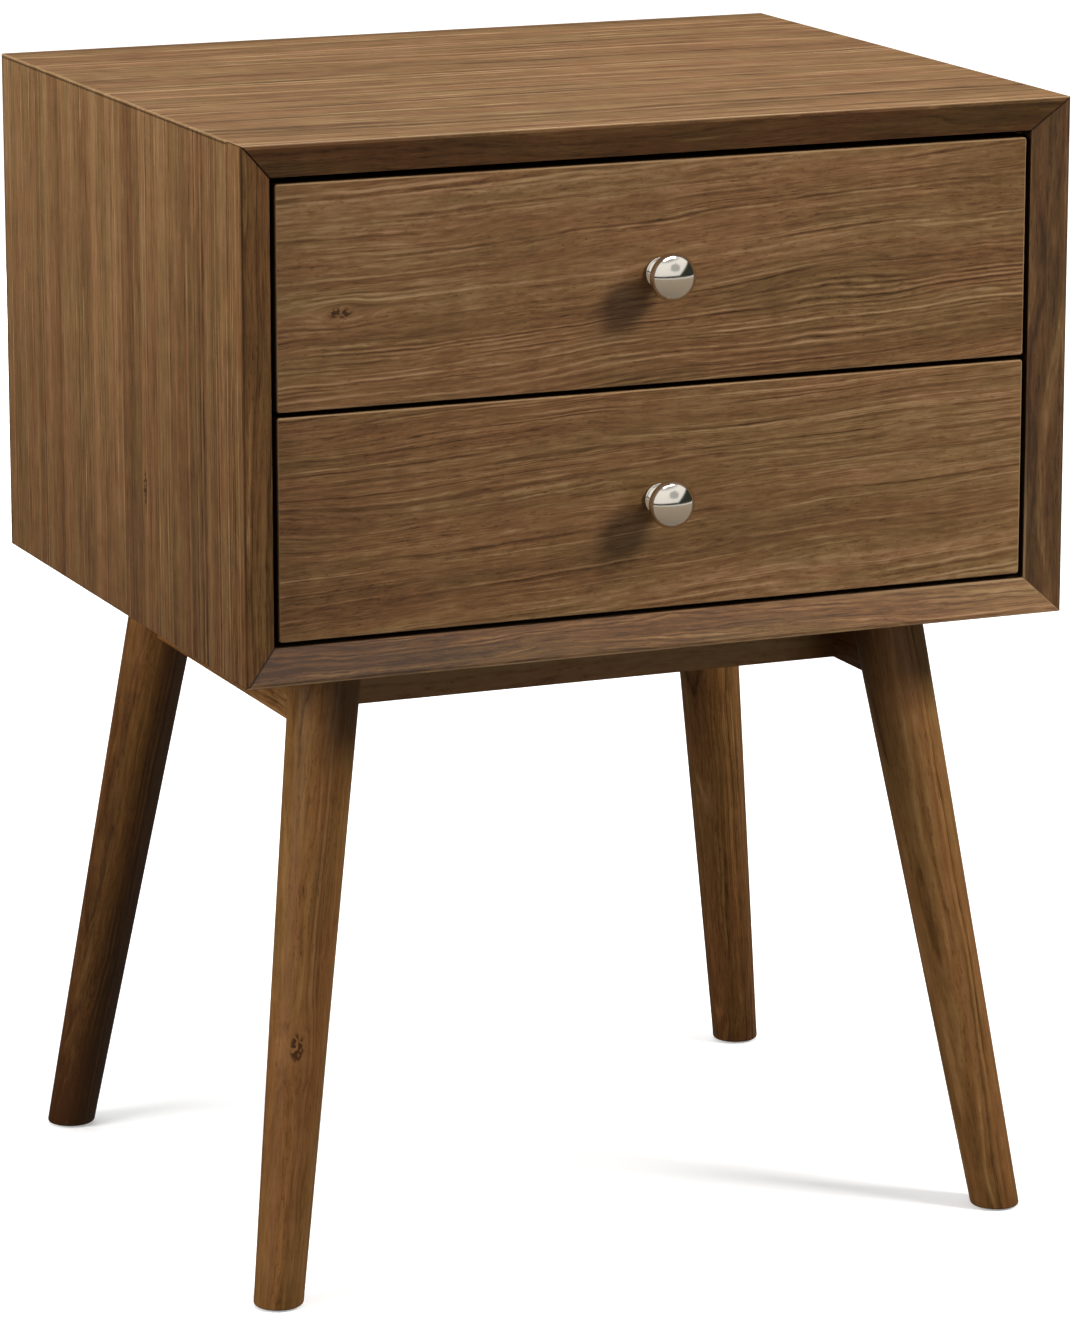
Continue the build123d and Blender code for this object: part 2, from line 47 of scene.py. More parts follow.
# ================================================================ node material tools
class Tree:
    """A material's or world's node tree, built with short calls. Arguments are numbers or sockets."""

    def __init__(self, name, world=False):
        self.block = (bpy.data.worlds if world else bpy.data.materials).new(name)
        self.block.use_nodes = True
        self.nodes = self.block.node_tree.nodes
        self.links = self.block.node_tree.links
        self.nodes.clear()
        self.output = self.nodes.new("ShaderNodeOutputWorld" if world else "ShaderNodeOutputMaterial")
        self.shader = self.nodes.new("ShaderNodeBackground" if world else "ShaderNodeBsdfPrincipled")
        self.links.new(self.shader.outputs[0], self.output.inputs["Surface"])

    def put(self, socket, value):
        if isinstance(value, bpy.types.NodeSocket):
            self.links.new(value, socket)
        else:
            socket.default_value = value

    def math(self, operation, *values):
        node = self.nodes.new("ShaderNodeMath")
        node.operation = operation
        for socket, value in zip(node.inputs, values):
            self.put(socket, value)
        return node.outputs[0]

    def vector(self, operation, *values):
        node = self.nodes.new("ShaderNodeVectorMath")
        node.operation = operation
        for socket, value in zip(node.inputs, values):
            self.put(socket, value)
        return node.outputs["Value" if operation == "LENGTH" else "Vector"]

    def add(self, first, *rest):
        for value in rest:
            first = self.math("ADD", first, value)
        return first

    def combine(self, x, y, z):
        node = self.nodes.new("ShaderNodeCombineXYZ")
        for socket, value in zip(node.inputs, (x, y, z)):
            self.put(socket, value)
        return node.outputs[0]

    def separate(self, vector):
        node = self.nodes.new("ShaderNodeSeparateXYZ")
        self.put(node.inputs[0], vector)
        return node.outputs

    def place(self):
        """The point on the object, in millimetres."""
        node = self.nodes.new("ShaderNodeTexCoord")
        return self.vector("MULTIPLY", node.outputs["Object"], (1000, 1000, 1000))

    def noise(self, vector, scale=1.0, detail=2.0, roughness=0.5, dimensions="3D"):
        """Smooth noise from 0 to 1 with its middle near 0.5."""
        node = self.nodes.new("ShaderNodeTexNoise")
        node.noise_dimensions = dimensions
        self.put(node.inputs["W" if dimensions == "1D" else "Vector"], vector)
        self.put(node.inputs["Scale"], scale)
        self.put(node.inputs["Detail"], detail)
        self.put(node.inputs["Roughness"], roughness)
        return node.outputs["Fac"]

    def random(self, value):
        """One random number for each whole number."""
        node = self.nodes.new("ShaderNodeTexWhiteNoise")
        node.noise_dimensions = "1D"
        self.put(node.inputs["W"], value)
        return node.outputs["Value"]

    def remap(self, value, low, high, to_low=0.0, to_high=1.0, smooth=True):
        node = self.nodes.new("ShaderNodeMapRange")
        node.interpolation_type = "SMOOTHSTEP" if smooth else "LINEAR"
        for socket, number in zip(node.inputs, (value, low, high, to_low, to_high)):
            self.put(socket, number)
        return node.outputs[0]

    def ramp(self, value, stops):
        node = self.nodes.new("ShaderNodeValToRGB")
        elements = node.color_ramp.elements
        while len(elements) < len(stops):
            elements.new(0.5)
        for element, (position, colour) in zip(elements, stops):
            element.position = position
            element.color = (*colour, 1)
        self.put(node.inputs[0], value)
        return node.outputs[0]

    def mix(self, factor, first, second, blend="MIX"):
        node = self.nodes.new("ShaderNodeMix")
        node.data_type = "RGBA"
        node.blend_type = blend
        sockets = [s for s in node.inputs if s.enabled]
        for socket, value in zip(sockets, (factor, first, second)):
            self.put(socket, value if isinstance(value, (bpy.types.NodeSocket, float)) else (*value, 1))
        return [s for s in node.outputs if s.enabled][0]

    def bump(self, height, strength, distance):
        node = self.nodes.new("ShaderNodeBump")
        self.put(node.inputs["Strength"], strength)
        self.put(node.inputs["Distance"], distance)
        self.put(node.inputs["Height"], height)
        self.links.new(node.outputs[0], self.shader.inputs["Normal"])

    def finish(self, colour, roughness, **sockets):
        self.put(self.shader.inputs["Base Color"], colour)
        self.put(self.shader.inputs["Roughness"], roughness)
        for name, value in sockets.items():
            self.put(self.shader.inputs[name.replace("_", " ")], value)
        return self.block

    def inside(self, place, low, high, soft=0.2):
        """1 inside a box, falling to 0 just outside it."""
        point = self.separate(place)
        gaps = []
        for axis in range(3):
            gaps.append(self.math("SUBTRACT", point[axis], low[axis] / MM))
            gaps.append(self.math("SUBTRACT", high[axis] / MM, point[axis]))
        least = gaps[0]
        for gap in gaps[1:]:
            least = self.math("MINIMUM", least, gap)
        return self.remap(least, -soft, soft)

    def mitre(self, place, low, high, width):
        """1 on the diagonal planes through the long edges of a box that run along Y."""
        point = self.separate(place)
        gaps = []
        for axis in (0, 2):
            from_low = self.math("SUBTRACT", point[axis], low[axis] / MM)
            from_high = self.math("SUBTRACT", high[axis] / MM, point[axis])
            gaps.append(self.math("MINIMUM", from_low, from_high))
        off = self.math("ABSOLUTE", self.math("SUBTRACT", gaps[0], gaps[1]))
        return self.remap(off, 0.4 * width, width, 1.0, 0.0)

    def from_edge(self, place, low, high):
        """How far a point on a box's surface is from the nearest edge of the box, in millimetres."""
        point = self.separate(place)
        gaps = []
        for axis in range(3):
            from_low = self.math("SUBTRACT", point[axis], low[axis] / MM)
            from_high = self.math("SUBTRACT", high[axis] / MM, point[axis])
            gaps.append(self.math("MINIMUM", from_low, from_high))
        smaller = self.math("MINIMUM", gaps[0], gaps[1])
        larger = self.math("MAXIMUM", gaps[0], gaps[1])
        return self.math("MAXIMUM", smaller, self.math("MINIMUM", larger, gaps[2]))


# ================================================================ wood
WALNUT = {
    "dark": (0.040, 0.018, 0.007),
    "brown": (0.122, 0.061, 0.0235),
    "tan": (0.192, 0.106, 0.044),
    "pale": (0.330, 0.210, 0.108),
}
STAINED = {
    "dark": (0.034, 0.012, 0.0025),
    "brown": (0.115, 0.050, 0.0135),
    "tan": (0.190, 0.092, 0.029),
    "pale": (0.300, 0.168, 0.066),
}
MAPLE = {
    "dark": (0.360, 0.235, 0.130),
    "brown": (0.560, 0.410, 0.250),
    "tan": (0.660, 0.510, 0.340),
    "pale": (0.740, 0.600, 0.430),
}
SHADOW = (0.010, 0.005, 0.002)

# How much each part of the grain adds to the tone, which runs from 0, dark, to 1, pale.
WEIGHTS = {
    "bands": 0.46, "lines": 1.6, "dark stroke": -0.30, "light stroke": 0.18, "choppy": 0.62, "fibre": 0.58,
    "patch": 0.30, "figure": 0.14, "dash": -0.16, "pore": -0.22, "knot": -0.7, "leaf": 0.14,
}
TONE_STOPS = [(0.02, "dark"), (0.38, "brown"), (0.62, "tan"), (0.98, "pale")]


def grain(
    tree, place, axes, seed, palette=WALNUT, tone=0.0, pith=(90.0, 60.0), slope=0.0, wave=1.0, band=16.0,
    line=1.5, leaf=0.0, knots=(), pores=1.0, contrast=1.0, strokes=1.0, red=0.0, drift=(0.0, 0.0),
    lean=(0.0, 0.0),
):
    """The colour, fibres, pores and patches of wood cut from a log.

    axes names the axes along the grain, across the face and into the board. pith is how far the log's
    heart lies across and below the middle of the face, so a near heart gives arches and a far one
    straight lines. leaf is the width of the veneer's strips, 0 for none. knots are (along, across,
    length, width) round which the lines bend. drift is how much the tone changes in a metre along and
    across the grain. lean is how far the piece leans along X and Y for each unit of height. Other
    lengths are in millimetres.
    """
    if any(lean):
        height = tree.separate(place)[2]
        shift = [tree.math("MULTIPLY", height, share) for share in lean]
        place = tree.vector("SUBTRACT", place, tree.combine(*shift, 0.0))
    point = dict(zip("xyz", tree.separate(place)))
    raw_along, raw_across, deep = (point[axis] for axis in axes)
    sideways = tree.math("MULTIPLY", raw_across, drift[1] * MM)
    drifted = tree.math("MULTIPLY_ADD", raw_along, drift[0] * MM, sideways)
    along = tree.math("ADD", raw_along, seed * 137.0)
    across = tree.math("MULTIPLY_ADD", raw_along, slope, raw_across) if slope else raw_across

    leaf_tone = 0.0
    if leaf:
        wander = tree.noise(tree.math("MULTIPLY_ADD", across, 0.013, seed), 1.0, 1.0, dimensions="1D")
        strips = tree.math("MULTIPLY_ADD", wander, 2.2, tree.math("DIVIDE", across, leaf))
        number = tree.math("FLOOR", strips)
        chance = tree.random(tree.math("ADD", number, seed * 7.0))
        leaf_tone = tree.math("MULTIPLY", tree.math("SUBTRACT", chance, 0.5), WEIGHTS["leaf"])
        across = tree.math("MULTIPLY_ADD", chance, 900.0, across)

    def spread(length, width, extra=0.0):
        """Coordinates for noise whose blots are length along the grain and width across it.

        extra moves them to another part of the noise.
        """
        return tree.combine(
            tree.math("DIVIDE", along, length),
            tree.math("DIVIDE", across, width),
            tree.math("MULTIPLY_ADD", deep, 1.0 / width, extra),
        )

    def weigh(value, part, weight):
        """Adds to value a part whose middle is 0.5."""
        return tree.math("MULTIPLY_ADD", tree.math("SUBTRACT", part, 0.5), weight, value)

    slow = tree.noise(spread(230.0, 60.0), 1.0, 2.0, 0.45)
    ripple = tree.noise(spread(52.0, 12.0, 4.0), 1.0, 2.0, 0.55)
    tremble = tree.noise(spread(13.0, 4.0, 8.0), 1.0, 1.0, 0.5)
    bent = weigh(across, slow, 30.0 * wave)
    bent = weigh(bent, ripple, 5.0 * wave)
    bent = weigh(bent, tremble, 1.1 * wave)
    dark_knots = 0.0
    for k_along, k_across, k_length, k_width in knots:
        far_along = tree.math("DIVIDE", tree.math("SUBTRACT", raw_along, k_along), k_length)
        off = tree.math("SUBTRACT", raw_across, k_across)
        distance = tree.vector("LENGTH", tree.combine(far_along, tree.math("DIVIDE", off, k_width), 0.0))
        near = tree.math("EXPONENT", tree.math("MULTIPLY", tree.math("POWER", distance, 2.0), -1.0))
        bent = tree.math("MULTIPLY_ADD", tree.math("MULTIPLY", off, near), -0.75, bent)
        speck = tree.noise(spread(2.6, 1.8), 1.0, 1.0)
        core = tree.remap(distance, 0.22, 0.50, 1.0, 0.0)
        dark_knots = tree.math("MULTIPLY_ADD", core, tree.remap(speck, 0.42, 0.56), dark_knots)

    heart = tree.combine(tree.math("SUBTRACT", bent, pith[0]), tree.math("SUBTRACT", deep, pith[1]), 0.0)
    radius = tree.math("ADD", tree.vector("LENGTH", heart), seed * 61.0)

    def rings(width, detail=2.0, rough=0.6, shift=0.0):
        return tree.noise(tree.math("MULTIPLY_ADD", radius, 1.0 / width, shift), 1.0, detail, rough, "1D")

    def with_grain(length, width, detail=1.0, rough=0.5):
        """Noise in streaks that follow the rings."""
        streaks = tree.combine(
            tree.math("DIVIDE", along, length),
            tree.math("DIVIDE", radius, width),
            tree.math("DIVIDE", deep, width),
        )
        return tree.noise(streaks, 1.0, detail, rough)

    bands = rings(band, 2.0, 0.5)
    lines = rings(line)
    stroke = rings(1.7 * line, 1.0, 0.5, 31.0)
    life = tree.remap(with_grain(70.0, 2.7 * line, 2.0), 0.36, 0.64, 0.1, 1.0)
    other_life = tree.remap(with_grain(38.0, 3.0 * line, 2.0), 0.44, 0.62)
    choppy = with_grain(11.0 * line, 0.9 * line, 3.0, 0.66)
    fibre = with_grain(15.0, 0.6, 2.0, 0.6)
    dash = tree.remap(with_grain(8.0, 0.95), 0.58, 0.70)
    pore = tree.remap(with_grain(3.4, 0.45), 0.62, 0.74)
    crowd = tree.remap(tree.noise(spread(60.0, 9.0, 12.0), 1.0, 2.0), 0.38, 0.62, 0.3, 1.0)
    patch = tree.noise(spread(70.0, 24.0, 16.0), 1.0, 3.0, 0.55)
    figure = tree.noise(spread(9.0, 24.0, 20.0), 1.0, 2.0, 0.5)

    lines = tree.math("MULTIPLY", tree.math("SUBTRACT", lines, 0.5), life)
    dark_stroke = tree.math("MULTIPLY", tree.remap(stroke, 0.58, 0.70), other_life)
    light_stroke = tree.math("MULTIPLY", tree.remap(stroke, 0.40, 0.30), life)
    dash = tree.math("MULTIPLY", dash, crowd)
    crowded_pore = tree.math("MULTIPLY", pore, crowd)

    value = weigh(0.5 + tone, bands, WEIGHTS["bands"] * contrast)
    value = tree.math("MULTIPLY_ADD", lines, WEIGHTS["lines"] * contrast, value)
    value = tree.math("MULTIPLY_ADD", dark_stroke, WEIGHTS["dark stroke"] * strokes * contrast, value)
    value = tree.math("MULTIPLY_ADD", light_stroke, WEIGHTS["light stroke"] * strokes * contrast, value)
    value = weigh(value, choppy, WEIGHTS["choppy"] * contrast)
    value = weigh(value, fibre, WEIGHTS["fibre"] * contrast)
    value = weigh(value, patch, WEIGHTS["patch"] * contrast)
    value = weigh(value, figure, WEIGHTS["figure"])
    value = tree.math("MULTIPLY_ADD", dash, WEIGHTS["dash"] * pores, value)
    value = tree.math("MULTIPLY_ADD", crowded_pore, WEIGHTS["pore"] * pores, value)
    value = tree.add(value, leaf_tone, drifted)
    if knots:
        value = tree.math("MULTIPLY_ADD", dark_knots, WEIGHTS["knot"], value)
    colour = tree.ramp(value, [(position, palette[shade]) for position, shade in TONE_STOPS])
    cool = tree.mix(1.0, colour, (0.98, 1.01, 0.96), "MULTIPLY")
    warm = tree.mix(1.0, colour, (1.05 + 0.3 * red, 0.97 - 0.2 * red, 0.97 - 0.2 * red), "MULTIPLY")
    warmth = tree.remap(tree.noise(spread(110.0, 15.0, 24.0), 1.0, 2.0), 0.34, 0.66)
    return tree.mix(warmth, cool, warm), fibre, pore, patch


def wood(
    name, axes, seed, box=None, edge=("pale", 0.35, 0.75), under_arris_dark=0.0, shaded=(), mitre=None, glint=None,
    veneer=None, roughness=0.46, gloss=0.30, **look,
):
    """Lacquered wood.

    box is the outline whose arrises are painted pale, as wear with a painted highlight, or dark with edge,
    and under_arris_dark is how dark a thin line just under them is. shaded lists boxes in which the wood is
    darkened towards black with painted shade, and mitre is the outline of the frame whose mitre lines are
    dark. glint is an axis and the two places along it between which the mitre line and the arris round the
    first shaded box turn pale with a painted highlight. veneer is the look of another wood, and the box in
    which it covers this one. Boxes are in metres.
    """
    tree = Tree(name)
    place = tree.place()
    colour, fibre, pore, patch = grain(tree, place, axes, seed, **look)
    mitre_line_colour = SHADOW
    # Painted highlight: along the glint's span the arris round the first shaded box and the mitre line turn
    # pale.
    if glint:
        axis, start, end = glint
        glint_share = tree.remap(tree.separate(place)["xyz".index(axis)], start / MM, end / MM)
        off_arris = tree.math("ABSOLUTE", tree.from_edge(place, *shaded[0]))
        rim_glint = tree.math("MULTIPLY", tree.remap(off_arris, 0.5, 1.1, 0.7, 0.0), glint_share)
        colour = tree.mix(rim_glint, colour, WALNUT["pale"])
        mitre_line_colour = tree.mix(glint_share, SHADOW, WALNUT["pale"])
    if mitre:
        colour = tree.mix(tree.math("MULTIPLY", tree.mitre(place, *mitre, 0.9), 0.85), colour, mitre_line_colour)
    if veneer:
        other_look, low, high = veneer
        other = grain(tree, place, **other_look)[0]
        colour = tree.mix(tree.inside(place, low, high, 0.1), colour, other)
    # Pale arrises are wear with a painted highlight on the eased edges; dark ones are simply darker along
    # the arris.
    if box:
        shade, least, most = edge
        away = tree.from_edge(place, *box)
        arris = tree.remap(away, 0.4, 1.1, 1.0, 0.0)
        arris_tint = tree.math("MULTIPLY", arris, tree.remap(patch, 0.35, 0.65, least, most))
        colour = tree.mix(arris_tint, colour, WALNUT[shade])
        # A thin line just under the arrises is darkened.
        if under_arris_dark:
            under = tree.math("MULTIPLY", tree.remap(away, 1.0, 1.3), tree.remap(away, 2.2, 1.9))
            colour = tree.mix(tree.math("MULTIPLY", under, under_arris_dark), colour, SHADOW)
    # Painted shade: the wood inside each shaded box is darkened towards black, standing in for the shade in
    # a deep gap.
    for low, high in shaded:
        painted_shade = tree.math("MULTIPLY", tree.inside(place, low, high), 0.82)
        colour = tree.mix(painted_shade, colour, SHADOW)
    shine = tree.math("MULTIPLY_ADD", tree.math("SUBTRACT", fibre, 0.5), 0.14, roughness)
    shine = tree.math("MULTIPLY_ADD", pore, 0.18, shine)
    height = tree.math("MULTIPLY_ADD", pore, -1.0, tree.math("MULTIPLY", fibre, 0.5))
    tree.bump(height, 0.30, 0.12 * MM)
    return tree.finish(colour, shine, Specular_IOR_Level=gloss)


# ================================================================ metals and plastic
def nickel():
    """Polished nickel with a little haze and fine wiping marks."""
    tree = Tree("polished_nickel")
    place = tree.place()
    haze = tree.noise(place, 0.16, 3.0, 0.6)
    marks = tree.noise(tree.vector("MULTIPLY", place, (2.2, 2.2, 9.0)), 1.0, 3.0, 0.7)
    shine = tree.add(tree.remap(haze, 0.3, 0.7, 0.08, 0.13), tree.remap(marks, 0.55, 0.8, 0.0, 0.05))
    colour = tree.mix(haze, (0.70, 0.655, 0.595), (0.76, 0.72, 0.665))
    tree.bump(marks, 0.02, 0.02 * MM)
    return tree.finish(colour, shine, Metallic=1.0)


def zinc(name, axis, tint=(0.56, 0.58, 0.60)):
    """Rolled, zinc-plated steel: drawn lines along it and a mottled plating."""
    tree = Tree(name)
    place = tree.place()
    squeeze = [0.03 if letter == axis else 2.6 for letter in "xyz"]
    drawn = tree.noise(tree.vector("MULTIPLY", place, squeeze), 1.0, 3.0, 0.65)
    mottle = tree.noise(place, 0.22, 3.0, 0.6)
    dark = tuple(0.78 * channel for channel in tint)
    colour = tree.mix(tree.remap(mottle, 0.3, 0.7), dark, tint)
    shine = tree.add(tree.remap(drawn, 0.2, 0.8, 0.26, 0.42), tree.remap(mottle, 0.4, 0.7, 0.0, 0.06))
    tree.bump(drawn, 0.10, 0.05 * MM)
    return tree.finish(colour, shine, Metallic=1.0)


def nylon():
    """Moulded dark nylon with a fine, dull grain and scuffs."""
    tree = Tree("dark_nylon")
    place = tree.place()
    grain = tree.noise(place, 3.0, 3.0, 0.6)
    scuff = tree.noise(place, 0.4, 4.0, 0.7)
    colour = tree.mix(tree.remap(scuff, 0.45, 0.75), (0.030, 0.023, 0.019), (0.075, 0.062, 0.053))
    tree.bump(grain, 0.25, 0.08 * MM)
    return tree.finish(colour, tree.remap(scuff, 0.3, 0.7, 0.42, 0.62))


# ================================================================ CAD nodes that stay
def dress(node, material, angle=35):
    """Gives a CAD node its material, and shades its curved faces smooth."""
    thing = nodes[node]
    thing.data.materials.clear()
    thing.data.materials.append(material)
    thing.data.shade_smooth()
    thing.data.set_sharp_from_angle(angle=radians(angle))


NOSING = 2.2 * MM
SKIN = 0.2 * MM
PLAY = 0.3 * MM
FAR = 0.1


def case_woods():
    """The case: veneered panels, solid front mouldings with the panels' veneer on their outer faces."""
    low = (*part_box("top_front_moulding")[0][:2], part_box("bottom_panel")[0][2])
    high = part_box("top_panel")[1]
    outline = (low, high)
    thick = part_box("bottom_panel")[1][2] - low[2]
    outer_y, inner_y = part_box("upper_drawer_front")[0][1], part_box("top_front_moulding")[1][1]
    # The mouldings' faces inside this box, round the drawers, are darkened with painted shade, and its arris
    # carries the painted highlight of the glints.
    opening = (
        (low[0] + thick - PLAY, outer_y + 0.5 * MM, low[2] + thick - PLAY),
        (high[0] - thick + PLAY, inner_y, high[2] - thick + PLAY),
    )
    middle_y = (low[1] + high[1]) / 2 / MM
    top_z, mid_z = high[2] / MM, (low[2] + high[2]) / 2 / MM

    top_look = dict(
        axes="xyz", seed=1.3, pith=(middle_y - 620, top_z - 120), wave=0.7, band=34, line=5.0,
        tone=0.04, contrast=0.95, strokes=0.7, pores=0.5,
    )
    bottom_look = dict(axes="xyz", seed=4.1, pith=(middle_y - 380, 250), wave=0.6, contrast=0.8)
    # Painted shade: the sides' tone drifts darker towards the bottom and the front, and the tone is offset
    # so the middle keeps its level.
    side_painted_falloff = (0.85, 0.32)
    side_looks = {
        side: dict(
            axes="zyx", seed=seed, pith=(middle_y - 500, 0), wave=0.22, band=12, line=2.0, leaf=24,
            tone=-0.05 - side_painted_falloff[0] * mid_z * MM, contrast=0.9, strokes=0.7, pores=0.5,
            drift=side_painted_falloff, knots=[(mid_z - 62, -32, 22, 6)],
        )
        for side, seed in (("left", 2.2), ("right", 5.7))
    }
    dress("top_panel", wood("walnut_top", box=outline, **top_look))
    dress("bottom_panel", wood("walnut_bottom", box=outline, **bottom_look))
    upper_edges = ((low[0], low[1], low[2] - FAR), high)
    for side, look in side_looks.items():
        dress(f"{side}_side_panel", wood(f"walnut_{side}_side", box=upper_edges, under_arris_dark=0.7, **look))
    dress("back_panel", wood(
        "walnut_back", "xzy", 8.8, pith=(mid_z - 420, 120), wave=0.9, band=24, contrast=0.7, roughness=0.6,
    ))

    skin_y = low[1] + NOSING
    top_skin = ((low[0] - FAR, skin_y, high[2] - SKIN), (high[0] + FAR, high[1], high[2] + FAR))
    left_skin = ((low[0] - FAR, skin_y, low[2] - FAR), (low[0] + SKIN, high[1], high[2] + FAR))
    right_skin = ((high[0] - SKIN, skin_y, low[2] - FAR), (high[0] + FAR, high[1], high[2] + FAR))
    mouldings = {
        "top": dict(
            axes="xyz", seed=6.4, pith=(-420, top_z - 60), wave=0.5, tone=-0.16, contrast=0.7, red=0.1,
            edge=("pale", 0.6, 0.95), veneer=(top_look, *top_skin),
        ),
        # Painted sheen: the bottom moulding's drift makes it paler towards its right end, and its glint
        # paints a highlight on the opening's arris and mitre there.
        "bottom": dict(
            axes="xyz", seed=3.6, pith=(-410, 300), wave=0.8, tone=-0.14, contrast=1.15, drift=(1.0, 0),
            edge=("pale", 0.4, 0.9), gloss=0.7, roughness=0.55, glint=("x", 0.06, 0.20),
        ),
        "left": dict(
            axes="zyx", seed=7.9, pith=(-440, -190), wave=0.4, tone=-0.24, contrast=0.75,
            edge=("dark", 0.6, 0.9), gloss=0.12, veneer=(side_looks["left"], *left_skin),
        ),
        # Painted highlight: the right moulding's glint turns its mitre line and the opening's arris pale
        # near the bottom.
        "right": dict(
            axes="zyx", seed=9.5, pith=(-440, 150), wave=0.4, tone=-0.22, contrast=0.95,
            edge=("dark", 0.4, 0.8), gloss=0.5, glint=("z", low[2] + 0.09, low[2] + 0.03),
            veneer=(side_looks["right"], *right_skin),
        ),
    }
    for side, look in mouldings.items():
        moulding = wood(
            f"moulding_{side}", box=outline, shaded=[opening], mitre=outline, strokes=0.7, **look,
        )
        dress(f"{side}_front_moulding", moulding)


def base_woods():
    """The underframe: for each rail its axes, seed, pith and tone."""
    # Painted light: the front rail's high tone stands in for light it lacks in the shade under the case.
    rails = {
        "front": ("xzy", 10.4, (250, 60), 0.45),
        "back": ("xzy", 11.9, (230, -40), 0.13),
        "left_side": ("yzx", 12.7, (250, -90), -0.02),
        "right_side": ("yzx", 13.2, (240, 90), 0.2),
    }
    for rail, (axes, seed, pith, tone) in rails.items():
        stained = wood(f"rail_{rail}", axes, seed, pith=pith, tone=tone, palette=STAINED, contrast=0.8)
        dress(f"{rail}_rail", stained)
    dress("rail_dowels", wood("dowel_beech", "xyz", 14.0, palette=MAPLE))


FRONT_FACE_DEPTH = 1.4 * MM


def drawer_woods(level, seed, heart, tone, drift, knots):
    """A drawer: a walnut front whose edge faces are darkened with painted shade, and a maple box with a ply
    bottom.

    heart is how far the log's heart lies above the middle of the front. knots are measured from that middle.
    """
    low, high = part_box(f"{level}_drawer_front")
    mid_z = (low[2] + high[2]) / 2 / MM
    placed = [(along, mid_z + across, length, width) for along, across, length, width in knots]
    # Painted shade: the front's edge faces are darkened towards black, standing in for the shade in the gap
    # round the drawer.
    shaded_edges = (
        (low[0] - MM, low[1] + FRONT_FACE_DEPTH, low[2] - MM),
        (high[0] + MM, high[1] - 0.5 * MM, high[2] + MM),
    )
    front = wood(
        f"{level}_front_walnut", "xzy", seed, pith=(mid_z + heart, 90), slope=-0.05, wave=0.7, band=19,
        line=1.35, contrast=1.0, strokes=0.5, knots=placed, tone=tone, drift=(drift, 0), box=(low, high),
        edge=("pale", 0.5, 0.9), shaded=[shaded_edges],
    )
    dress(f"{level}_drawer_front", front)
    sides = wood(
        f"{level}_box_maple", "yzx", seed + 20, palette=MAPLE, pith=(mid_z - 160, 0), contrast=0.5,
        pores=0.25, wave=0.6,
    )
    ends = wood(
        f"{level}_box_end_maple", "xzy", seed + 23, palette=MAPLE, pith=(mid_z - 170, 0), contrast=0.5,
        pores=0.25, wave=0.6,
    )
    for side in ("left", "right"):
        dress(f"{level}_box_{side}_side", sides)
    for end in ("front", "back"):
        dress(f"{level}_box_{end}", ends)
    bottom = wood(
        f"{level}_bottom_ply", "xyz", seed + 26, palette=MAPLE, pith=(-60, mid_z - 90), tone=0.06,
        contrast=0.4, pores=0.2,
    )
    dress(f"{level}_box_bottom", bottom)


def hardware():
    """Runners, ball cages, screws and glides."""
    rolled = zinc("zinc_rolled", "y")
    pressed = zinc("zinc_pressed", "y", (0.50, 0.50, 0.48))
    screws = zinc("zinc_screws", "z", (0.60, 0.58, 0.54))
    for level in ("upper", "lower"):
        for side in ("left", "right"):
            dress(f"{level}_{side}_cabinet_member", rolled)
            dress(f"{level}_{side}_drawer_member", rolled)
            dress(f"{level}_{side}_ball_cage", pressed)
        for piece in ("knob_screw", "front_screws", "runner_screws"):
            dress(f"{level}_{piece}", screws)
    for node in ("back_panel_screws", "base_screws", "cabinet_runner_screws"):
        dress(node, screws)
    dress("foot_glides", nylon())


case_woods()
base_woods()
drawer_woods("upper", 15.2, 190, 0.05, -0.2, [(-175, -9, 16, 7)])
drawer_woods("lower", 17.6, -210, 0.03, 0.35, [])
hardware()

# ================================================================ turned pieces
ROUND = 96


def lathe(name, profile, matrix, material):
    """A turned piece from (radius, length) points, closed on its axis, about its own Z."""
    mesh = bpy.data.meshes.new(name)
    shape = bmesh.new()
    rings = []
    for radius, length in profile:
        if radius == 0:
            rings.append([shape.verts.new((0, 0, length))])
        else:
            angles = [2 * pi * i / ROUND for i in range(ROUND)]
            rings.append([shape.verts.new((radius * cos(a), radius * sin(a), length)) for a in angles])
    for lower, upper in zip(rings, rings[1:]):
        for i in range(ROUND):
            j = (i + 1) % ROUND
            corners = [(lower, i), (lower, j), (upper, j), (upper, i)]
            points = [ring[turn % len(ring)] for ring, turn in corners]
            shape.faces.new(list(dict.fromkeys(points)))
    bmesh.ops.recalc_face_normals(shape, faces=shape.faces)
    shape.to_mesh(mesh)
    shape.free()
    mesh.shade_smooth()
    mesh.set_sharp_from_angle(angle=radians(40))
    mesh.materials.append(material)
    piece = bpy.data.objects.new(name, mesh)
    piece.matrix_world = matrix
    scene.collection.objects.link(piece)
    return piece


def arc(centre, radius, start, end, steps):
    """Points on an arc, angles in degrees."""
    turns = [radians(start + (end - start) * i / steps) for i in range(steps + 1)]
    return [(centre[0] + radius[0] * cos(a), centre[1] + radius[1] * sin(a)) for a in turns]


KNOB_BASE_R = 8.3 * MM
KNOB_NECK_R = 4.8 * MM
KNOB_EDGE = 0.5 * MM
KNOB_LIP = 0.4 * MM
KNOB_LIP_HIGH = 1.1 * MM
KNOB_FLARE_R = KNOB_BASE_R + 0.1 * MM
KNOB_FLARE_HIGH = 6.6 * MM
KNOB_FLARE_DEEP = 5.1 * MM
KNOB_NECK_HIGH = 9.8 * MM
KNOB_FILLET = 0.6 * MM
KNOB_FILLET_HIGH = 10.2 * MM
KNOB_UNDER_HIGH = 10.8 * MM
KNOB_RIM_HIGH = 15.8 * MM


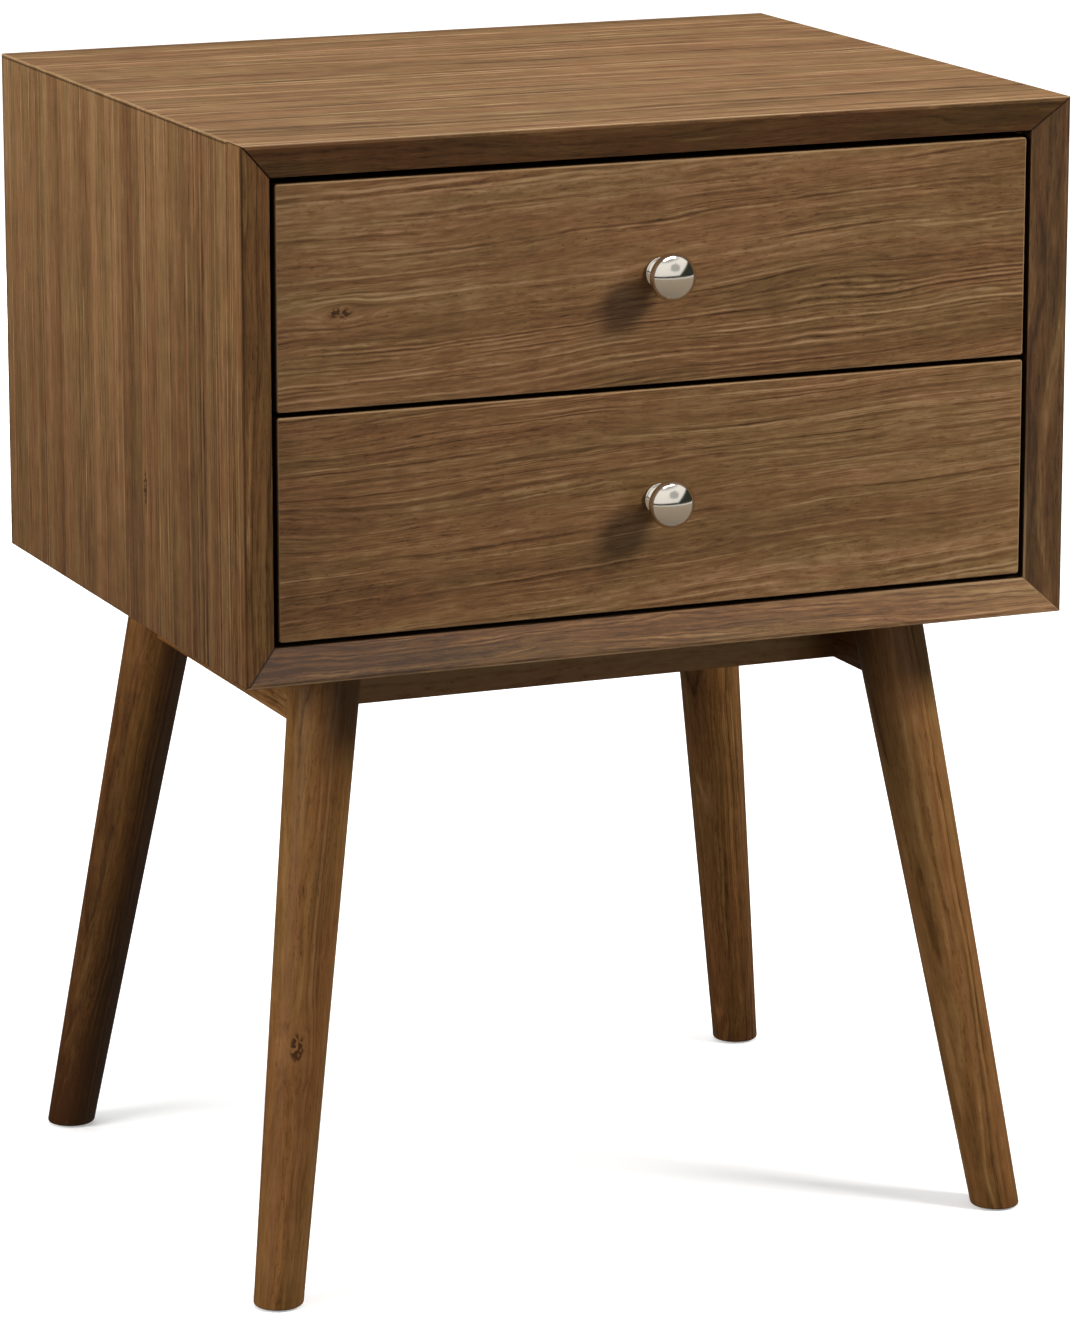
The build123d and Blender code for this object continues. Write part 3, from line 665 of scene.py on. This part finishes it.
def make_knob(level, material):
    """A mushroom knob on a flared base, the shape of the CAD knob with its small roundings."""
    low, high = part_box(f"{level}_knob")
    radius = (high[0] - low[0]) / 2
    height = high[1] - low[1]
    edge_r = KNOB_BASE_R - KNOB_EDGE
    under_r = KNOB_NECK_R + KNOB_FILLET
    profile = [(0.0, 0.0), (edge_r, 0.0)]
    profile += arc((edge_r, KNOB_EDGE), (KNOB_EDGE, KNOB_EDGE), -80, 0, 5)
    profile += arc((KNOB_BASE_R - KNOB_LIP, KNOB_LIP_HIGH), (KNOB_LIP, KNOB_LIP), 0, 70, 4)
    flare = (KNOB_FLARE_R - KNOB_NECK_R, KNOB_FLARE_DEEP)
    profile += arc((KNOB_FLARE_R, KNOB_FLARE_HIGH), flare, -95, -180, 14)[1:]
    profile += [(KNOB_NECK_R, KNOB_NECK_HIGH)]
    profile += arc((under_r, KNOB_FILLET_HIGH), (KNOB_FILLET, KNOB_FILLET), 180, 95, 5)
    underside = (radius - under_r, KNOB_RIM_HIGH - KNOB_UNDER_HIGH)
    profile += arc((under_r, KNOB_RIM_HIGH), underside, -88, 0, 16)
    profile += arc((0.0, KNOB_RIM_HIGH), (radius, height - KNOB_RIM_HIGH), 3, 89, 30)
    profile += [(0.0, height)]
    seat = Vector((0, high[1], (low[2] + high[2]) / 2))
    facing = Matrix.Translation(seat) @ Matrix.Rotation(radians(90), 4, "X")
    knob = lathe(f"{level}_knob_turned", profile, facing, material)
    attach(knob, f"{level}_drawer")
    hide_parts(f"{level}_knob")


polished = nickel()
for level in ("upper", "lower"):
    make_knob(level, polished)

LEG_TOP_R = 19.0 * MM
LEG_FOOT_R = 13.0 * MM
LEG_EASING = 1.2 * MM
LEG_STEPS = 24


def leg_axis(node):
    """Where a leg's axis meets the floor and the case's underside."""
    low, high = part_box(node)
    foot, top = Vector((0, 0, 0)), Vector((0, 0, high[2]))
    for i in (0, 1):
        sign = 1 if low[i] + high[i] > 0 else -1
        outer, inner = (high[i], low[i]) if sign > 0 else (low[i], high[i])
        foot[i] = outer - sign * LEG_FOOT_R
        top[i] = inner + sign * LEG_TOP_R
    return foot, top


def make_leg(node, material):
    """A turned, tapered leg, cut level at both ends, with an eased foot."""
    low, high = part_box(node)
    foot, top = leg_axis(node)
    axis = (top - foot).normalized()
    along_x = axis.orthogonal().normalized()
    along_y = axis.cross(along_x)
    span = high[2] - low[2]
    heights = [(0.0, -1.0), (0.15 * LEG_EASING, -0.5), (0.45 * LEG_EASING, -0.2), (LEG_EASING, 0.0)]
    rings = [(low[2] + z, shrink * LEG_EASING) for z, shrink in heights]
    rings += [(low[2] + span * i / LEG_STEPS, 0.0) for i in range(1, LEG_STEPS + 1)]
    shape = bmesh.new()
    loops = []
    for z, shrink in rings:
        share = z / top[2]
        centre = foot.lerp(top, share)
        radius = LEG_FOOT_R + (LEG_TOP_R - LEG_FOOT_R) * share + shrink
        loop = []
        for i in range(ROUND):
            turn = 2 * pi * i / ROUND
            point = centre + radius * (cos(turn) * along_x + sin(turn) * along_y)
            point += axis * ((z - point[2]) / axis[2])
            loop.append(shape.verts.new(point - foot))
        loops.append(loop)
    for lower, upper in zip(loops, loops[1:]):
        for i in range(ROUND):
            j = (i + 1) % ROUND
            shape.faces.new((lower[i], lower[j], upper[j], upper[i]))
    shape.faces.new(list(reversed(loops[0])))
    shape.faces.new(loops[-1])
    bmesh.ops.recalc_face_normals(shape, faces=shape.faces)
    mesh = bpy.data.meshes.new(node + "_turned")
    shape.to_mesh(mesh)
    shape.free()
    mesh.shade_smooth()
    mesh.set_sharp_from_angle(angle=radians(50))
    mesh.materials.append(material)
    leg = bpy.data.objects.new(node + "_turned", mesh)
    leg.location = foot
    scene.collection.objects.link(leg)
    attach(leg, "case")
    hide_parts(node)


# Painted shade and light: the back legs' low tones stand in for the case's shade on them, and each drift
# grades a leg's tone up its height to follow the light.
LEG_LOOKS = {
    "front_left": dict(seed=21.3, contrast=0.6, tone=0.03, drift=(-0.2, 0), knots=[(136, -6, 18, 8)]),
    "front_right": dict(seed=24.8, contrast=0.7, tone=0.02, drift=(0.5, 0)),
    "back_left": dict(seed=27.1, contrast=0.7, tone=-0.50, drift=(1.15, 0)),
    "back_right": dict(seed=29.6, contrast=1.0, tone=-0.22, drift=(0.8, 0)),
}
for corner, look in LEG_LOOKS.items():
    foot, top = leg_axis(f"{corner}_leg")
    slant = (top - foot) / top[2]
    turned_wood = wood(
        f"leg_{corner}", "zxy", palette=STAINED, pith=(75, 45), band=14, line=1.8, wave=0.6,
        strokes=0.6, gloss=0.26, lean=(slant[0], slant[1]), **look,
    )
    make_leg(f"{corner}_leg", turned_wood)


# ================================================================ stage
FLOOR_RADIUS = 18
GLOW_NEAR, GLOW_FAR = 700.0, 3200.0
GLOW_LEAST = 0.30


def make_floor():
    """A pale floor that glows white away from the object, so that it joins the background unseen."""
    mesh = bpy.data.meshes.new("floor")
    shape = bmesh.new()
    bmesh.ops.create_circle(shape, cap_ends=True, segments=128, radius=FLOOR_RADIUS)
    shape.to_mesh(mesh)
    shape.free()
    tree = Tree("pale_floor")
    drift = tree.noise(tree.place(), 0.002, 2.0)
    colour = tree.mix(drift, (0.90, 0.90, 0.90), (0.92, 0.92, 0.92))
    far = tree.vector("LENGTH", tree.place())
    glow = tree.remap(far, GLOW_NEAR, GLOW_FAR, GLOW_LEAST, 1.0)
    mesh.materials.append(tree.finish(colour, 0.9, Emission_Color=(1, 1, 1, 1), Emission_Strength=glow))
    floor = bpy.data.objects.new("floor", mesh)
    scene.collection.objects.link(floor)
    floor.visible_diffuse = False
    floor.visible_glossy = False


def make_light(name, position, aim, size, power, colour=(1, 1, 1), mirrored=False):
    """A softbox at position, facing aim. Only a mirrored one shows in the metal."""
    data = bpy.data.lights.new(name, "AREA")
    data.shape = "RECTANGLE"
    data.size, data.size_y = size
    data.energy = power
    data.color = colour
    light = bpy.data.objects.new(name, data)
    light.location = position
    light.visible_glossy = mirrored
    light.rotation_euler = (Vector(aim) - Vector(position)).to_track_quat("-Z", "Y").to_euler()
    scene.collection.objects.link(light)


# What the metal mirrors, from straight below to straight above: the floor, the far wall and its dark foot,
# the softboxes and the ceiling.
MIRRORED_STUDIO = [
    (0.00, (0.28, 0.235, 0.18)),
    (0.43, (0.42, 0.35, 0.27)),
    (0.455, (0.95, 0.92, 0.86)),
    (0.478, (0.02, 0.02, 0.02)),
    (0.508, (0.02, 0.02, 0.02)),
    (0.540, (0.95, 0.94, 0.90)),
    (0.90, (1.10, 1.08, 1.02)),
    (0.97, (0.45, 0.45, 0.45)),
]
DARK_WALL = (0.035, 0.04, 0.03)
STAND = (0.26, 0.26, 0.27)
STAND_DIRECTION = (0.22, -0.84, 0.50)
STAND_SPREAD = (0.32, 0.46)
BEHIND = (0.09, 0.085, 0.08)
AMBIENT_LOW, AMBIENT_HIGH = (0.035, 0.026, 0.018), (0.14, 0.14, 0.14)


def make_world():
    """A studio: white behind the object, dim all round it, and softboxes, a dark wall and a grey stand
    for the metal to mirror."""
    tree = Tree("studio", world=True)
    direction = tree.nodes.new("ShaderNodeTexCoord").outputs["Generated"]
    x, y, z = tree.separate(direction)[:3]
    height = tree.remap(z, -1.0, 1.0, smooth=False)
    mirrored = tree.ramp(height, MIRRORED_STUDIO)
    above_wall = tree.math("SUBTRACT", z, tree.math("MULTIPLY_ADD", x, 1.0, -0.38))
    low_wall = tree.math("MULTIPLY", tree.remap(above_wall, 0.08, -0.08), tree.remap(z, -0.01, 0.01))
    wedge = tree.math("MULTIPLY", low_wall, tree.remap(x, 0.35, 0.50))
    off_stand = tree.vector("LENGTH", tree.vector("SUBTRACT", direction, STAND_DIRECTION))
    ragged = tree.math("MULTIPLY_ADD", tree.noise(direction, 6.0, 3.0), 0.22, off_stand)
    stand = tree.remap(ragged, *STAND_SPREAD, 1.0, 0.0)
    mirrored = tree.mix(tree.math("MULTIPLY", stand, 0.68), mirrored, STAND)
    mirrored = tree.mix(wedge, mirrored, DARK_WALL)
    mirrored = tree.mix(tree.remap(y, 0.0, 0.35), mirrored, BEHIND)
    ambient = tree.mix(tree.remap(z, -0.1, 0.2), AMBIENT_LOW, AMBIENT_HIGH)
    ray = tree.nodes.new("ShaderNodeLightPath")
    light = tree.mix(ray.outputs["Is Glossy Ray"], ambient, mirrored)
    light = tree.mix(ray.outputs["Is Camera Ray"], light, (1.0, 1.0, 1.0))
    tree.put(tree.shader.inputs["Color"], light)
    scene.world = tree.block


AIM = Vector((-0.0082, -0.03625, 0.2965))
CAMERA_AZIMUTH = radians(-23.0)
CAMERA_ELEVATION = radians(13.37)
CAMERA_DISTANCE = 3.183
CAMERA_LENS = 160.0


def make_camera():
    """The camera, at the photograph's angle: the azimuth is turned from the front to the left."""
    data = bpy.data.cameras.new("camera")
    data.lens = CAMERA_LENS
    data.sensor_width = 36
    flat = cos(CAMERA_ELEVATION)
    look = Vector((-sin(CAMERA_AZIMUTH) * flat, cos(CAMERA_AZIMUTH) * flat, -sin(CAMERA_ELEVATION)))
    camera = bpy.data.objects.new("camera", data)
    camera.location = AIM - look * CAMERA_DISTANCE
    camera.rotation_euler = look.to_track_quat("-Z", "Y").to_euler()
    scene.collection.objects.link(camera)
    scene.camera = camera


make_floor()
make_world()
CENTRE = (0, 0, 0.42)
make_light("key", (1.95, -1.75, 2.15), CENTRE, (0.8, 0.8), 105, (1.0, 0.98, 0.95))
make_light("overhead", (0.0, 0.3, 2.7), CENTRE, (1.8, 1.8), 48, mirrored=True)
make_light("low_fill", (0.9, -2.8, 0.35), (0.0, 0.0, 0.3), (1.4, 0.7), 8)
make_light("left_fill", (-2.8, -0.25, 1.3), CENTRE, (1.6, 1.6), 95, (1.0, 0.99, 0.97))
make_light("back_fill", (0.0, 3.0, 0.45), (0.0, 0.0, 0.4), (1.2, 0.8), 40)
make_camera()
scene.view_settings.view_transform = "Standard"
